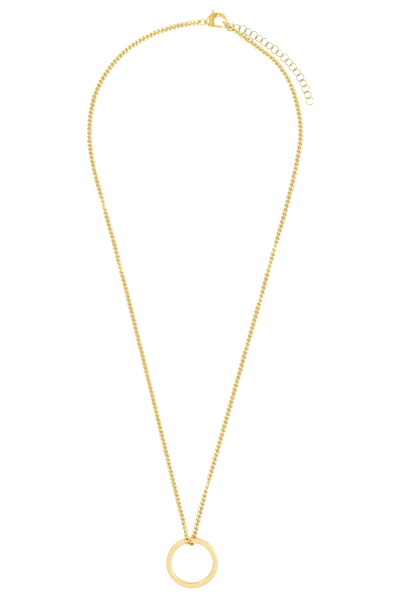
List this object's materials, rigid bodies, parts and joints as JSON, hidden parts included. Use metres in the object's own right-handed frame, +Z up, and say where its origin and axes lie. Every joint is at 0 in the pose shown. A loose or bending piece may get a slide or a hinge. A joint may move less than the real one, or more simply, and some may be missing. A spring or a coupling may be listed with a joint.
{
  "type": "chain necklace",
  "caption": "Fine gold-plated curb chain necklace lying closed, with a plain flat ring pendant, a lobster clasp and an extender chain of small round rings.",
  "frame": {"origin": "middle of the closed necklace's bounding box in plan, on the surface that it lies on", "axes": "+Y from the pendant towards the clasp, +Z up off the surface, +X to the right seen from above"},
  "size_m": [0.0955, 0.2428, 0.0052],
  "materials": {
    "chain_gold": "polished gold plate",
    "pendant_gold": "satin gold plate",
    "clasp_gold": "polished gold plate",
    "extender_gold": "polished gold plate",
    "spring_steel": "drawn"
  },
  "bodies": {
    "centre_links": {"centre_links": "chain_gold"},
    "pendant_ring": {"pendant_ring": "pendant_gold"},
    "clasp_body": {"clasp_body": "clasp_gold", "clasp_rivet": "clasp_gold", "clasp_spring": "spring_steel"},
    "clasp_lever": {"clasp_lever": "clasp_gold"},
    "left_jump_ring": {"left_jump_ring": "chain_gold"},
    "end_jump_ring": {"end_jump_ring": "chain_gold"},
    "left_links_01": {"left_links_01": "chain_gold"},
    "right_links_01": {"right_links_01": "chain_gold"},
    "left_links_02": {"left_links_02": "chain_gold"},
    "right_links_02": {"right_links_02": "chain_gold"},
    "left_links_03": {"left_links_03": "chain_gold"},
    "right_links_03": {"right_links_03": "chain_gold"},
    "left_links_04": {"left_links_04": "chain_gold"},
    "right_links_04": {"right_links_04": "chain_gold"},
    "left_links_05": {"left_links_05": "chain_gold"},
    "right_links_05": {"right_links_05": "chain_gold"},
    "left_links_06": {"left_links_06": "chain_gold"},
    "right_links_06": {"right_links_06": "chain_gold"},
    "left_links_07": {"left_links_07": "chain_gold"},
    "right_links_07": {"right_links_07": "chain_gold"},
    "left_links_08": {"left_links_08": "chain_gold"},
    "right_links_08": {"right_links_08": "chain_gold"},
    "left_links_09": {"left_links_09": "chain_gold"},
    "right_links_09": {"right_links_09": "chain_gold"},
    "left_links_10": {"left_links_10": "chain_gold"},
    "right_links_10": {"right_links_10": "chain_gold"},
    "left_links_11": {"left_links_11": "chain_gold"},
    "right_links_11": {"right_links_11": "chain_gold"},
    "left_links_12": {"left_links_12": "chain_gold"},
    "right_links_12": {"right_links_12": "chain_gold"},
    "left_links_13": {"left_links_13": "chain_gold"},
    "right_links_13": {"right_links_13": "chain_gold"},
    "left_links_14": {"left_links_14": "chain_gold"},
    "right_links_14": {"right_links_14": "chain_gold"},
    "extender_ring_01": {"extender_ring_01": "extender_gold"},
    "extender_ring_02": {"extender_ring_02": "extender_gold"},
    "extender_ring_03": {"extender_ring_03": "extender_gold"},
    "extender_ring_04": {"extender_ring_04": "extender_gold"},
    "extender_ring_05": {"extender_ring_05": "extender_gold"},
    "extender_ring_06": {"extender_ring_06": "extender_gold"},
    "extender_ring_07": {"extender_ring_07": "extender_gold"},
    "extender_ring_08": {"extender_ring_08": "extender_gold"},
    "extender_ring_09": {"extender_ring_09": "extender_gold"},
    "extender_ring_10": {"extender_ring_10": "extender_gold"},
    "extender_ring_11": {"extender_ring_11": "extender_gold"},
    "extender_ring_12": {"extender_ring_12": "extender_gold"},
    "extender_ring_13": {"extender_ring_13": "extender_gold"},
    "extender_ring_14": {"extender_ring_14": "extender_gold"},
    "extender_ring_15": {"extender_ring_15": "extender_gold"},
    "extender_ring_16": {"extender_ring_16": "extender_gold"},
    "extender_ring_17": {"extender_ring_17": "extender_gold"},
    "extender_ring_18": {"extender_ring_18": "extender_gold"},
    "extender_ring_19": {"extender_ring_19": "extender_gold"}
  },
  "joints": [
    {"name": "clasp_lever_open", "type": "hinge", "parent": "clasp_body", "child": "clasp_lever", "pos_m": [0.0038, 0.1156, 0.0022], "axis": [0, 0, 1], "range_deg": [0, 12], "stiffness_Nm_per_rad": 0.004, "springref_deg": -5.73, "deforming": ["clasp_spring"]},
    {"name": "pendant_swing", "type": "hinge", "parent": "centre_links", "child": "pendant_ring", "pos_m": [-0.0044, -0.1005, 0.00272], "axis": [-1, 0, 0], "range_deg": [-75, 70]},
    {"name": "clasp_turn", "type": "hinge", "parent": "left_jump_ring", "child": "clasp_body", "pos_m": [0.00215, 0.1165, 0.0022], "axis": [0.9958, -0.0914, 0], "range_deg": [-15, 15]},
    {"name": "left_ring_turn", "type": "hinge", "parent": "left_links_14", "child": "left_jump_ring", "pos_m": [0.00069, 0.1165, 0.0022], "axis": [0.9958, -0.0914, 0], "range_deg": [-12, 12]},
    {"name": "end_ring_turn", "type": "hinge", "parent": "right_links_14", "child": "end_jump_ring", "pos_m": [0.01188, 0.11437, 0.00283], "axis": [0.788, -0.6157, 0], "range_deg": [-10, 10]},
    {"name": "fold_01_left", "type": "hinge", "parent": "centre_links", "child": "left_links_01", "pos_m": [-0.00751, -0.09305, 0.00081], "axis": [0.9859, 0.1646, -0.0293], "range_deg": [-25, 25]},
    {"name": "fold_02_left", "type": "hinge", "parent": "left_links_01", "child": "left_links_02", "pos_m": [-0.0118, -0.07636, 0.00062], "axis": [-1, 0.0061, 0], "range_deg": [-25, 25]},
    {"name": "fold_03_left", "type": "hinge", "parent": "left_links_02", "child": "left_links_03", "pos_m": [-0.01589, -0.05959, 0.00062], "axis": [0.9983, -0.0586, 0], "range_deg": [-25, 25]},
    {"name": "fold_04_left", "type": "hinge", "parent": "left_links_03", "child": "left_links_04", "pos_m": [-0.01997, -0.04283, 0.00062], "axis": [-0.9965, 0.0831, 0], "range_deg": [-25, 25]},
    {"name": "fold_05_left", "type": "hinge", "parent": "left_links_04", "child": "left_links_05", "pos_m": [-0.02407, -0.02607, 0.00062], "axis": [0.9953, -0.097, 0], "range_deg": [-25, 25]},
    {"name": "fold_06_left", "type": "hinge", "parent": "left_links_05", "child": "left_links_06", "pos_m": [-0.02819, -0.00932, 0.00062], "axis": [-0.9944, 0.1058, 0], "range_deg": [-25, 25]},
    {"name": "fold_07_left", "type": "hinge", "parent": "left_links_06", "child": "left_links_07", "pos_m": [-0.03235, 0.00742, 0.00062], "axis": [0.9937, -0.1118, 0], "range_deg": [-25, 25]},
    {"name": "fold_08_left", "type": "hinge", "parent": "left_links_07", "child": "left_links_08", "pos_m": [-0.03672, 0.02411, 0.00062], "axis": [-0.9934, 0.1151, 0], "range_deg": [-25, 25]},
    {"name": "fold_09_left", "type": "hinge", "parent": "left_links_08", "child": "left_links_09", "pos_m": [-0.04133, 0.04074, 0.00062], "axis": [0.9932, -0.1164, 0], "range_deg": [-25, 25]},
    {"name": "fold_10_left", "type": "hinge", "parent": "left_links_09", "child": "left_links_10", "pos_m": [-0.04561, 0.05745, 0.00062], "axis": [-0.993, 0.1184, 0], "range_deg": [-25, 25]},
    {"name": "fold_11_left", "type": "hinge", "parent": "left_links_10", "child": "left_links_11", "pos_m": [-0.04686, 0.0746, 0.00062], "axis": [0.9918, -0.1279, 0], "range_deg": [-25, 25]},
    {"name": "fold_12_left", "type": "hinge", "parent": "left_links_11", "child": "left_links_12", "pos_m": [-0.04249, 0.09117, 0.00062], "axis": [-0.99, 0.1413, 0], "range_deg": [-25, 25]},
    {"name": "fold_13_left", "type": "hinge", "parent": "left_links_12", "child": "left_links_13", "pos_m": [-0.03192, 0.10467, 0.00062], "axis": [0.9887, -0.1502, 0], "range_deg": [-15, 15]},
    {"name": "fold_14_left", "type": "hinge", "parent": "left_links_13", "child": "left_links_14", "pos_m": [-0.01703, 0.11321, 0.00062], "axis": [-0.9844, 0.1758, 0], "range_deg": [-10, 10]},
    {"name": "fold_01_right", "type": "hinge", "parent": "centre_links", "child": "right_links_01", "pos_m": [-0.00111, -0.09198, 0.00062], "axis": [0.9859, 0.1646, -0.0293], "range_deg": [-25, 25]},
    {"name": "fold_02_right", "type": "hinge", "parent": "right_links_01", "child": "right_links_02", "pos_m": [0.00311, -0.07645, 0.00062], "axis": [-1, 0.0061, 0], "range_deg": [-25, 25]},
    {"name": "fold_03_right", "type": "hinge", "parent": "right_links_02", "child": "right_links_03", "pos_m": [0.00751, -0.06097, 0.00062], "axis": [0.9983, -0.0586, 0], "range_deg": [-25, 25]},
    {"name": "fold_04_right", "type": "hinge", "parent": "right_links_03", "child": "right_links_04", "pos_m": [0.01192, -0.04549, 0.00062], "axis": [-0.9965, 0.0831, 0], "range_deg": [-25, 25]},
    {"name": "fold_05_right", "type": "hinge", "parent": "right_links_04", "child": "right_links_05", "pos_m": [0.01631, -0.03001, 0.00062], "axis": [0.9953, -0.097, 0], "range_deg": [-25, 25]},
    {"name": "fold_06_right", "type": "hinge", "parent": "right_links_05", "child": "right_links_06", "pos_m": [0.0207, -0.01452, 0.00062], "axis": [-0.9944, 0.1058, 0], "range_deg": [-25, 25]},
    {"name": "fold_07_right", "type": "hinge", "parent": "right_links_06", "child": "right_links_07", "pos_m": [0.02508, 0.00096, 0.00062], "axis": [0.9937, -0.1118, 0], "range_deg": [-25, 25]},
    {"name": "fold_08_right", "type": "hinge", "parent": "right_links_07", "child": "right_links_08", "pos_m": [0.02944, 0.01645, 0.00062], "axis": [-0.9934, 0.1151, 0], "range_deg": [-25, 25]},
    {"name": "fold_09_right", "type": "hinge", "parent": "right_links_08", "child": "right_links_09", "pos_m": [0.03385, 0.03193, 0.00062], "axis": [0.9932, -0.1164, 0], "range_deg": [-25, 25]},
    {"name": "fold_10_right", "type": "hinge", "parent": "right_links_09", "child": "right_links_10", "pos_m": [0.03799, 0.04748, 0.00062], "axis": [-0.993, 0.1184, 0], "range_deg": [-25, 25]},
    {"name": "fold_11_right", "type": "hinge", "parent": "right_links_10", "child": "right_links_11", "pos_m": [0.04125, 0.06324, 0.00062], "axis": [0.9918, -0.1279, 0], "range_deg": [-25, 25]},
    {"name": "fold_12_right", "type": "hinge", "parent": "right_links_11", "child": "right_links_12", "pos_m": [0.04106, 0.07924, 0.00062], "axis": [-0.99, 0.1413, 0], "range_deg": [-25, 25]},
    {"name": "fold_13_right", "type": "hinge", "parent": "right_links_12", "child": "right_links_13", "pos_m": [0.03583, 0.09438, 0.00062], "axis": [0.9887, -0.1502, 0], "range_deg": [-15, 15]},
    {"name": "fold_14_right", "type": "hinge", "parent": "right_links_13", "child": "right_links_14", "pos_m": [0.02467, 0.10576, 0.00062], "axis": [-0.9844, 0.1758, 0], "range_deg": [-10, 10]},
    {"name": "extender_bend_01", "type": "hinge", "parent": "end_jump_ring", "child": "extender_ring_01", "pos_m": [0.01099, 0.11475, 0.0009], "axis": [-0.0321, 0.9995, 0], "range_deg": [-7, 7]},
    {"name": "extender_bend_02", "type": "hinge", "parent": "extender_ring_01", "child": "extender_ring_02", "pos_m": [0.01364, 0.11489, 0.00088], "axis": [-0.1814, -0.9834, 0], "range_deg": [-16, 16]},
    {"name": "extender_bend_03", "type": "hinge", "parent": "extender_ring_02", "child": "extender_ring_03", "pos_m": [0.01627, 0.11449, 0.00084], "axis": [0.4258, 0.9048, 0], "range_deg": [-20, 20]},
    {"name": "extender_bend_04", "type": "hinge", "parent": "extender_ring_03", "child": "extender_ring_04", "pos_m": [0.0187, 0.1134, 0.00083], "axis": [-0.5043, -0.8636, 0], "range_deg": [-20, 20]},
    {"name": "extender_bend_05", "type": "hinge", "parent": "extender_ring_04", "child": "extender_ring_05", "pos_m": [0.02102, 0.11207, 0.00084], "axis": [0.5206, 0.8538, 0], "range_deg": [-20, 20]},
    {"name": "extender_bend_06", "type": "hinge", "parent": "extender_ring_05", "child": "extender_ring_06", "pos_m": [0.0233, 0.11068, 0.00084], "axis": [-0.5478, -0.8366, 0], "range_deg": [-20, 20]},
    {"name": "extender_bend_07", "type": "hinge", "parent": "extender_ring_06", "child": "extender_ring_07", "pos_m": [0.02554, 0.10923, 0.00084], "axis": [0.5704, 0.8213, 0], "range_deg": [-20, 20]},
    {"name": "extender_bend_08", "type": "hinge", "parent": "extender_ring_07", "child": "extender_ring_08", "pos_m": [0.02773, 0.10771, 0.00084], "axis": [-0.5827, -0.8127, 0], "range_deg": [-20, 20]},
    {"name": "extender_bend_09", "type": "hinge", "parent": "extender_ring_08", "child": "extender_ring_09", "pos_m": [0.02991, 0.10616, 0.00084], "axis": [0.6006, 0.7995, 0], "range_deg": [-20, 20]},
    {"name": "extender_bend_10", "type": "hinge", "parent": "extender_ring_09", "child": "extender_ring_10", "pos_m": [0.03205, 0.10456, 0.00084], "axis": [-0.633, -0.7741, 0], "range_deg": [-20, 20]},
    {"name": "extender_bend_11", "type": "hinge", "parent": "extender_ring_10", "child": "extender_ring_11", "pos_m": [0.03412, 0.10288, 0.00084], "axis": [0.6968, 0.7172, 0], "range_deg": [-20, 20]},
    {"name": "extender_bend_12", "type": "hinge", "parent": "extender_ring_11", "child": "extender_ring_12", "pos_m": [0.03606, 0.10104, 0.00084], "axis": [-0.7557, -0.6549, 0], "range_deg": [-20, 20]},
    {"name": "extender_bend_13", "type": "hinge", "parent": "extender_ring_12", "child": "extender_ring_13", "pos_m": [0.03782, 0.09904, 0.00084], "axis": [0.7799, 0.6259, 0], "range_deg": [-20, 20]},
    {"name": "extender_bend_14", "type": "hinge", "parent": "extender_ring_13", "child": "extender_ring_14", "pos_m": [0.0395, 0.09696, 0.00084], "axis": [-0.8217, -0.5699, 0], "range_deg": [-20, 20]},
    {"name": "extender_bend_15", "type": "hinge", "parent": "extender_ring_14", "child": "extender_ring_15", "pos_m": [0.04104, 0.09479, 0.00084], "axis": [0.8764, 0.4816, 0], "range_deg": [-20, 20]},
    {"name": "extender_bend_16", "type": "hinge", "parent": "extender_ring_15", "child": "extender_ring_16", "pos_m": [0.04235, 0.09246, 0.00084], "axis": [-0.9099, -0.4148, 0], "range_deg": [-20, 20]},
    {"name": "extender_bend_17", "type": "hinge", "parent": "extender_ring_16", "child": "extender_ring_17", "pos_m": [0.04348, 0.09004, 0.00084], "axis": [0.934, 0.3572, 0], "range_deg": [-20, 20]},
    {"name": "extender_bend_18", "type": "hinge", "parent": "extender_ring_17", "child": "extender_ring_18", "pos_m": [0.04445, 0.08755, 0.00084], "axis": [-0.9544, -0.2985, 0], "range_deg": [-20, 20]},
    {"name": "extender_bend_19", "type": "hinge", "parent": "extender_ring_18", "child": "extender_ring_19", "pos_m": [0.04526, 0.08501, 0.00084], "axis": [0.9594, 0.2819, 0], "range_deg": [-20, 20]}
  ],
  "couplings": [
    {"joint": "fold_01_right", "follows": "fold_01_left", "ratio": 1},
    {"joint": "fold_02_right", "follows": "fold_02_left", "ratio": 1},
    {"joint": "fold_03_right", "follows": "fold_03_left", "ratio": 1},
    {"joint": "fold_04_right", "follows": "fold_04_left", "ratio": 1},
    {"joint": "fold_05_right", "follows": "fold_05_left", "ratio": 1},
    {"joint": "fold_06_right", "follows": "fold_06_left", "ratio": 1},
    {"joint": "fold_07_right", "follows": "fold_07_left", "ratio": 1},
    {"joint": "fold_08_right", "follows": "fold_08_left", "ratio": 1},
    {"joint": "fold_09_right", "follows": "fold_09_left", "ratio": 1},
    {"joint": "fold_10_right", "follows": "fold_10_left", "ratio": 1},
    {"joint": "fold_11_right", "follows": "fold_11_left", "ratio": 1},
    {"joint": "fold_12_right", "follows": "fold_12_left", "ratio": 1},
    {"joint": "fold_13_right", "follows": "fold_13_left", "ratio": 1},
    {"joint": "fold_14_right", "follows": "fold_14_left", "ratio": 1}
  ]
}
